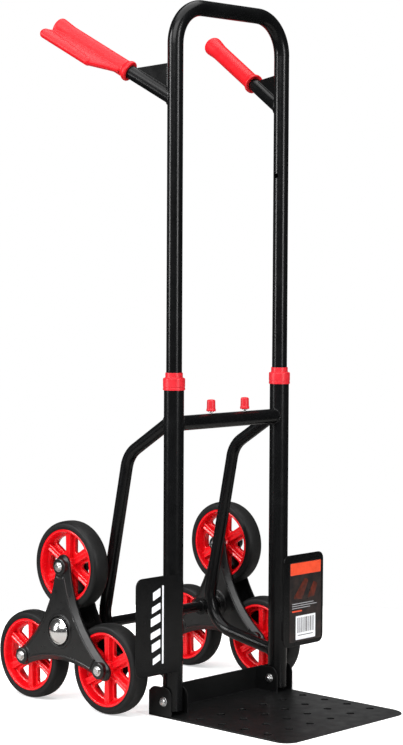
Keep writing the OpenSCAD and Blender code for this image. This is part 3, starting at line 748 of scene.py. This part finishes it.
def make_gusset(side):
    """Folded sheet web between the handle tube and its stub, with its welds."""
    stand = splayed(side) @ Matrix(((0, 0, 1, 0), (1, 0, 0, 0), (0, 1, 0, 0), (0, 0, 0, 1)))
    bm = bmesh.new()
    corners = [(4, STUB_Z + 6, 0), (64, STUB_Z + 41, 0), (64, STUB_Z + 49.5, 1.5), (8, STUB_Z + 55, 3)]
    slab(bm, [soften(corners)], stand, -1.5, 1.5, 0.6)
    piece(f"{side}_gusset_plate", bm, STEEL, "handle", [f"{side}_gusset"])

    bm = bmesh.new()
    rise = math.tan(math.radians(STUB_RISE))
    top = STUB_Z + STUB_R / math.cos(math.radians(STUB_RISE)) - 0.5
    for face in (-1.9, 1.9):
        upright_weld = [(HANDLE_R - 0.3, STUB_Z + 18 + i * 1.2, face) for i in range(31)]
        sweep(bm, upright_weld, ripple(1.7, 9), stand)
        reaches = [13 + i * 1.65 for i in range(31)]
        sweep(bm, [(reach, top + reach * rise, face) for reach in reaches], ripple(1.5, 11), stand)
    weld_ring(bm, stub_axis(side), STUB_R, HANDLE_R, (SIDES[side] * UPRIGHT_X, 0))
    piece(f"{side}_grip_welds", bm, STEEL, "handle")


def ripple(radius, count):
    """A weld bead's radius along its length: a run of small ripples."""
    return lambda share: radius * (1 + 0.10 * math.cos(2 * math.pi * count * share))


def weld_ring(bm, axis_place, tube_r, post_r, post_xy, bead=1.9, steps=96):
    """The bead where a tube along axis_place's local Z meets an upright round post."""
    origin = axis_place @ Vector((0, 0, 0))
    ahead = axis_place @ Vector((0, 0, 1)) - origin
    ring = []
    for i in range(steps):
        t = 2 * math.pi * i / steps
        p = axis_place @ Vector((tube_r * math.cos(t), tube_r * math.sin(t), 0))
        px, py = p.x - post_xy[0], p.y - post_xy[1]
        a = ahead.x ** 2 + ahead.y ** 2
        b = px * ahead.x + py * ahead.y
        c = px ** 2 + py ** 2 - post_r ** 2
        reach = (-b + math.sqrt(max(0.0, b * b - a * c))) / a
        ring.append(p + ahead * reach)
    sweep(bm, ring, ripple(bead, round(steps / 4)), Matrix.Identity(4), closed=True)


def make_collar(side):
    """Stepped sleeve on top of an upright, with a groove near its foot."""
    bm = bmesh.new()
    base, top = low(f"{side}_collar").z, high(f"{side}_collar").z
    step, seat = base + 17.5, base + 15
    wide = span(f"{side}_collar").x / 2
    groove = wide - 0.5
    fit, bore = UPRIGHT_R + 0.1, HANDLE_R + 0.15
    profile = soften([(fit, base, 0), (wide, base, 0.9), (wide, base + 3.4, 0.3), (groove, base + 3.9, 0.3),
                      (groove, base + 4.7, 0.3), (wide, base + 5.2, 0.3), (wide, step, 1.4),
                      (wide - 3.4, step + 1.4, 0.8), (wide - 3.5, top, 1.0), (bore, top, 0.5),
                      (bore, seat, 0), (fit, seat, 0)])
    lathe(bm, profile, upright_at(SIDES[side] * UPRIGHT_X), steps=96)
    piece(f"{side}_slide_collar", bm, TRIM_RED, "frame", [f"{side}_collar"])


def make_knob(side):
    """Red button on a zinc stem that stands in the crossbar's slot."""
    node = f"{side}_release_knob"
    base, top = low(node).z, high(node).z
    foot = top - 18
    at = upright_at(middle(node).x)
    bm = bmesh.new()
    button = soften([(0, foot, 0), (7.2, foot, 0.8), (7.2, foot + 3.2, 0.8), (6.6, foot + 4.4, 0.8),
                     (6.3, top - 0.6, 2.6), (2.5, top, 2), (0, top, 0)], steps=4, closed=False)
    lathe(bm, button, at, steps=64)
    lathe(bm, rod(2, base, foot + 0.5), at, steps=24, index=1)
    washer = soften([(1.8, foot - 1.1, 0), (4.2, foot - 1.1, 0.3), (4.2, foot + 0.1, 0),
                     (1.8, foot + 0.1, 0)])
    lathe(bm, washer, at, steps=32, index=1)
    piece(f"{side}_button", bm, [TRIM_RED, ZINC], f"{side}_release", [node])


# ---- Frame: welds, fenders and their prints ----

# Points of the rear strut's centre line, as (y, z)
STRUT_TOP, STRUT_KNEE = (0, 444.5), (95, 384.5)
STRUT_FOOT, STRUT_HEEL = (0, 63), (155, 93)


def make_frame_welds(side):
    """Beads where the crossbar, strut, fender and axle lugs meet an upright and the cross tube."""
    post = (SIDES[side] * UPRIGHT_X, 0)
    bm = bmesh.new()
    bar_z = middle("upper_crossbar").z
    inward = Matrix.Translation((*post, bar_z)) @ Matrix.Rotation(math.radians(-90 * SIDES[side]), 4, "Y")
    weld_ring(bm, inward, span("upper_crossbar").y / 2, UPRIGHT_R, post)
    strut_r = span("right_strut").x / 2 - 0.1
    for start, aim in ((STRUT_TOP, STRUT_KNEE), (STRUT_FOOT, STRUT_HEEL)):
        slope = math.degrees(math.atan2(aim[1] - start[1], aim[0] - start[0]))
        along = Matrix.Translation((*post, start[1])) @ Matrix.Rotation(math.radians(slope - 90), 4, "X")
        weld_ring(bm, along, strut_r, UPRIGHT_R, post)
    fender = high("right_fender")
    back = low("right_fender").y
    for z0 in (low("right_fender").z + 14, fender.z - 44):
        for x, y in ((7.8, fender.y + 0.8), (-4.6, back + 1.2)):
            rows = [(post[0] + SIDES[side] * x, y, z0 + i * 1.0) for i in range(31)]
            sweep(bm, rows, ripple(1.8, 8), Matrix.Identity(4))
    for lug_side in (-1, 1):
        x = post[0] + lug_side * (span("right_axle_lug").x / 2)
        turns = (2 * math.pi * i / 60 for i in range(60))
        ring = [(x, AXLE.y + 8.2 * math.cos(t), AXLE.z + 8.2 * math.sin(t)) for t in turns]
        sweep(bm, ring, ripple(1.6, 15), Matrix.Identity(4), closed=True)
    piece(f"{side}_frame_welds", bm, STEEL, "frame")


FENDER_T, PLATE_T = 2.0, 2.5
# Outer face of the toe plate's inner ear, just inside the upright
EAR_FACE = UPRIGHT_X - UPRIGHT_R - 1


def fender_face(side):
    """Drawings on a fender's front: x to the viewer's right, z up, height towards the viewer."""
    front = low("right_fender").y
    return Matrix(((1, 0, 0, 0), (0, 0, -1, front), (0, 1, 0, 0), (0, 0, 0, 1)))


def make_fender(side):
    """Flat wheel guard with round corners and eased edges."""
    bm = bmesh.new()
    a, b = low(f"{side}_fender"), high(f"{side}_fender")
    slab(bm, [rectangle(a.x, b.x, a.z, b.z, 12)], fender_face(side), -FENDER_T, 0, 0.6)
    piece(f"{side}_fender_plate", bm, STEEL, "frame", [f"{side}_fender"])


def make_label():
    """A plain generic sticker: header band, rule lines and a block of bars."""
    a, b = low("product_label"), high("product_label")
    at = fender_face("right")
    film = 0.3
    ink, orange, grey, ember, white = range(5)
    bm = bmesh.new()
    slab(bm, [rectangle(a.x, b.x, a.z, b.z, 2)], at, 0, film, 0.1)

    def print_on(outline, index, lift=0.0):
        slab(bm, [outline], at, film - 0.05, film + 0.06 + lift, 0.02, index=index)

    x0, top = a.x, b.z
    print_on(rectangle(x0 + 1.5, b.x - 1.5, top - 20.5, top - 1.5, 1.2), orange)
    print_on(soften([(x0 + 8, top - 58, 2), (x0 + 30, top - 60, 2), (x0 + 46, top - 30, 3),
                     (x0 + 36, top - 27, 2)]), ember)
    print_on(soften([(x0 + 42, top - 60, 2), (x0 + 60, top - 58, 2), (x0 + 68, top - 38, 2),
                     (x0 + 58, top - 34, 2)]), ember)
    for z, length in ((top - 67, 52), (top - 70.5, 60), (top - 74, 44)):
        print_on(rectangle(x0 + 6, x0 + 6 + length, z, z + 1.3, 0.5), grey)
    print_on(rectangle(x0 + 6, x0 + 30, top - 79.5, top - 77.2, 0.8), orange)
    left, right, foot, head = x0 + 15, b.x - 14, a.z + 3, a.z + 41
    print_on(rectangle(left, right, foot, head, 1.2), white)
    x = left + 4
    k = 0
    while x < right - 5:
        thick = 0.8 + 0.7 * (math.sin(2.4 * k) > 0) + 0.6 * (math.cos(1.7 * k) > 0.4)
        print_on(rectangle(x, x + thick, foot + 11, head - 3), ink, 0.03)
        x += thick + 1.1 + 0.6 * (math.sin(3.1 * k + 1) > 0)
        k += 1
    print_on(rectangle(left + 5, right - 6, foot + 6.2, foot + 7.4), ink, 0.03)
    films = [LABEL_FILM, LABEL_ORANGE, PRINT_GREY, LABEL_EMBER, PRINT_WHITE]
    piece("fender_sticker", bm, films, "frame", ["product_label"], flat_bias=False)


def make_left_mark():
    """An abstract white print of slanted bars beside a long thin bar."""
    at = fender_face("left")
    bm = bmesh.new()
    bar_x, bar_low, bar_high = -155.0, 86.0, 202.0
    inner, pitch, slant = bar_x - 7, 19, 6
    shapes = [rectangle(bar_x - 3.2, bar_x, bar_low, bar_high, 0.8)]
    for k in range(6):
        z = bar_low + k * pitch
        tall = 9.5 + 2.5 * (k % 2)
        outer = inner - (21 - 2.2 * abs(k - 2.5))
        shapes.append(soften([(outer, z, 1), (inner, z + slant, 1), (inner, z + slant + tall, 1),
                              (outer, z + tall, 1)]))
    for outline in shapes:
        slab(bm, [outline], at, -0.05, 0.12, 0.03)
    piece("fender_print", bm, PRINT_WHITE, "frame", flat_bias=False)


def make_pivot_bolt(side):
    """The toe plate's hinge bolt: head outside the cheek, nut inside the inner ear."""
    node = f"{side}_pivot_bolt"
    spot = middle(node)
    outer = high("toe_plate").x
    ear = EAR_FACE - PLATE_T
    at = on_side(SIDES[side], spot.y, spot.z, 0)
    bm = bmesh.new()
    head = at @ Matrix.Translation((0, 0, outer + 0.1)) @ Matrix.Rotation(0.3, 4, "Z")
    nut = at @ Matrix.Translation((0, 0, ear - 0.1)) @ TURNED_ROUND @ Matrix.Rotation(0.1, 4, "Z")
    hex_head(bm, head, BOLT_AF, 4.3, washer=14)
    hex_head(bm, nut, BOLT_AF, 5, washer=14)
    lathe(bm, rod(BOLT_R, ear - 7, outer + 1, tip=0.6), at, steps=24)
    piece(f"{side}_fold_bolt", bm, ZINC, "frame", [node])


# ---- Toe plate ----

def make_toe_plate():
    """Deck with a grid of round holes, each shut near its foot by a dark disc of painted shade, folded up at
    the back and the sides.
    """
    a, b = low("toe_plate"), high("toe_plate")
    wall_h, tab_front = 38.0, -15.0
    slope_run, slope_drop = 28, 1.6
    hole_r, edge_r = 6.0, 0.55
    deck = bmesh.new()
    floor = Matrix.Identity(4)
    spots = [((i - 2.5) * 47.0, -54 - j * 44.5) for i in range(6) for j in range(4)]
    edge = soften([(a.x, a.y, 22), (b.x, a.y, 22), (b.x, b.y, 1), (a.x, b.y, 1)], steps=12)
    slab(deck, [edge, *(circle(hole_r, 36, spot) for spot in spots)], floor, 0, PLATE_T, edge_r)
    bmesh.ops.remove_doubles(deck, verts=deck.verts, dist=1e-6)
    crease = (a.y + slope_run) * MM
    bmesh.ops.bisect_plane(deck, geom=[*deck.verts, *deck.edges, *deck.faces],
                           plane_co=(0, crease, 0), plane_no=(0, 1, 0))
    for v in deck.verts:
        if v.co.y < crease and v.co.z > PLATE_T * 0.4 * MM:
            v.co.z -= slope_drop * (crease - v.co.y) / slope_run
    # Each hole is shut near its foot by a thin, very dark disc: painted shade standing in for the shadowed
    # floor seen through the hole.
    lip_r = hole_r + 0.1
    shade_disc = soften([(0, 0.1, 0), (lip_r, 0.1, 0), (lip_r, 0.5, 0), (4.6, 0.45, 0.6), (0, 0.3, 0)], closed=False)
    for spot in spots:
        lathe(deck, shade_disc, upright_at(*spot), steps=36, index=1)
    upended = Matrix(((1, 0, 0, 0), (0, 0, 1, 0), (0, 1, 0, 0), (0, 0, 0, 1)))
    slab(deck, [rectangle(a.x, b.x, 0, wall_h, 1)], upended, b.y - PLATE_T, b.y, edge_r)
    bolt_hole = circle(3.05, 24, (0, middle("right_pivot_bolt").z))
    for sign in (-1, 1):
        for face, head in ((b.x, b.z), (EAR_FACE, b.z - 3)):
            cheek = soften([(tab_front, 0, 0), (b.y, 0, 0), (b.y, head, 14), (tab_front, head, 14)], steps=10)
            slab(deck, [cheek, bolt_hole], on_side(sign), face - PLATE_T, face, edge_r)
        for x in (b.x - PLATE_T - 0.1, EAR_FACE - PLATE_T - 0.1, EAR_FACE + 0.1):
            rows = [(sign * x, tab_front + 2 + 1.1 * i, PLATE_T) for i in range(38)]
            sweep(deck, rows, ripple(1.3, 12), floor, sides=8)
    rows = [(a.x + 5 + i * 2.0, b.y - PLATE_T, PLATE_T) for i in range(133)]
    sweep(deck, rows, 1.2, floor, sides=8)
    piece("folding_deck", deck, [DECK, PAINTED_HOLE_SHADE], "toe_plate", ["toe_plate"])


def make_pieces():
    for side in SIDES:
        for part in ("outer", "inner"):
            make_spider(side, part)
        make_hub_cap(side)
        make_wheel_bolts(side)
        for which in WHEELS:
            make_wheel(side, which)
        make_grip(side)
        make_gusset(side)
        make_collar(side)
        make_knob(side)
        make_frame_welds(side)
        make_fender(side)
        make_pivot_bolt(side)
    make_label()
    make_left_mark()
    make_toe_plate()


# ---- CAD nodes that stay, with their finishes ----

def dress_cad_nodes():
    """Gives every CAD node the finish of its material slot."""
    finishes = {"black_steel": STEEL, "black_plastic": PLASTIC, "red_wheel": WHEEL_RED,
                "red_grip": GRIP_RED, "red_trim": TRIM_RED, "tyre": RUBBER, "zinc": ZINC,
                "chrome": CHROME, "label": LABEL_FILM}
    for part in frame["record"]["subparts"]:
        mesh = frame["nodes"][part["node"]].data
        mesh.materials.clear()
        mesh.materials.append(DECK if part["node"] == "toe_plate" else finishes[part["material_slot"]])


# ---- Stage ----

def area_light(name, place, aim, size, power):
    """A soft rectangular light, unseen by the camera; size in metres, power in watts."""
    data = bpy.data.lights.new(name, "AREA")
    data.shape = "RECTANGLE"
    data.size, data.size_y = size
    data.energy = power
    ob = bpy.data.objects.new(name, data)
    ob.location = place
    ob.rotation_euler = (Vector(aim) - Vector(place)).to_track_quat("-Z", "Y").to_euler()
    ob.visible_camera = False
    scene.collection.objects.link(ob)


def make_stage():
    """A pale round floor that reflects dimly, a white background and soft lights."""
    bm = bmesh.new()
    bmesh.ops.create_circle(bm, cap_ends=True, segments=96, radius=0.9)
    mesh = bpy.data.meshes.new("floor")
    bm.to_mesh(mesh)
    bm.free()
    pale = Finish("pale_floor")
    tone = pale.mix(pale.level(pale.noise(3), 0.3, 0.7), (0.86, 0.86, 0.86), (0.88, 0.88, 0.88))
    pale.shader.inputs["Emission Color"].default_value = (1, 1, 1, 1)
    pale.shader.inputs["Emission Strength"].default_value = 0.5
    surface = pale.done(tone, 0.8, pale.bump(pale.noise(300), 0.02, 0.1))
    dim = pale.add("ShaderNodeBsdfDiffuse")
    dim.inputs["Color"].default_value = (0.42, 0.41, 0.39, 1)
    either = pale.add("ShaderNodeMixShader")
    pale.feed(either, 0, pale.add("ShaderNodeLightPath").outputs["Is Glossy Ray"])
    pale.tree.links.new(pale.shader.outputs[0], either.inputs[1])
    pale.tree.links.new(dim.outputs[0], either.inputs[2])
    pale.tree.links.new(either.outputs[0], pale.tree.nodes["Material Output"].inputs["Surface"])
    mesh.materials.append(surface)
    floor = bpy.data.objects.new("floor", mesh)
    floor.location.z = -0.0005
    scene.collection.objects.link(floor)

    world = bpy.data.worlds.new("studio")
    world.use_nodes = True
    tree = world.node_tree
    seen = tree.nodes["Background"]
    seen.inputs["Color"].default_value = (1, 1, 1, 1)
    seen.inputs["Strength"].default_value = 1.0
    ambient = tree.nodes.new("ShaderNodeBackground")
    ambient.inputs["Color"].default_value = (1, 1, 1, 1)
    ambient.inputs["Strength"].default_value = 0.05
    ray = tree.nodes.new("ShaderNodeLightPath")
    blend = tree.nodes.new("ShaderNodeMixShader")
    tree.links.new(ray.outputs["Is Camera Ray"], blend.inputs[0])
    tree.links.new(ambient.outputs[0], blend.inputs[1])
    tree.links.new(seen.outputs[0], blend.inputs[2])
    tree.links.new(blend.outputs[0], tree.nodes["World Output"].inputs["Surface"])
    scene.world = world
    scene.view_settings.view_transform = "Standard"

    centre = (0, 0, 0.5)
    area_light("overhead", (0, -0.2, 3.2), (0, 0, 0), (3.0, 3.0), 85)
    area_light("key_softbox", (-2.5, -0.9, 2.6), centre, (2.4, 2.4), 110)
    area_light("left_strip", (-2.7, 1.7, 1.6), (0, 0, 1.6), (0.55, 2.3), 100)
    area_light("right_strip", (-0.3, -3.3, 1.6), (0, 0, 1.6), (0.55, 2.3), 85)
    area_light("back_card", (2.6, 2.2, 1.1), centre, (2.0, 1.4), 4)


make_camera()
dress_cad_nodes()
make_pieces()
make_stage()
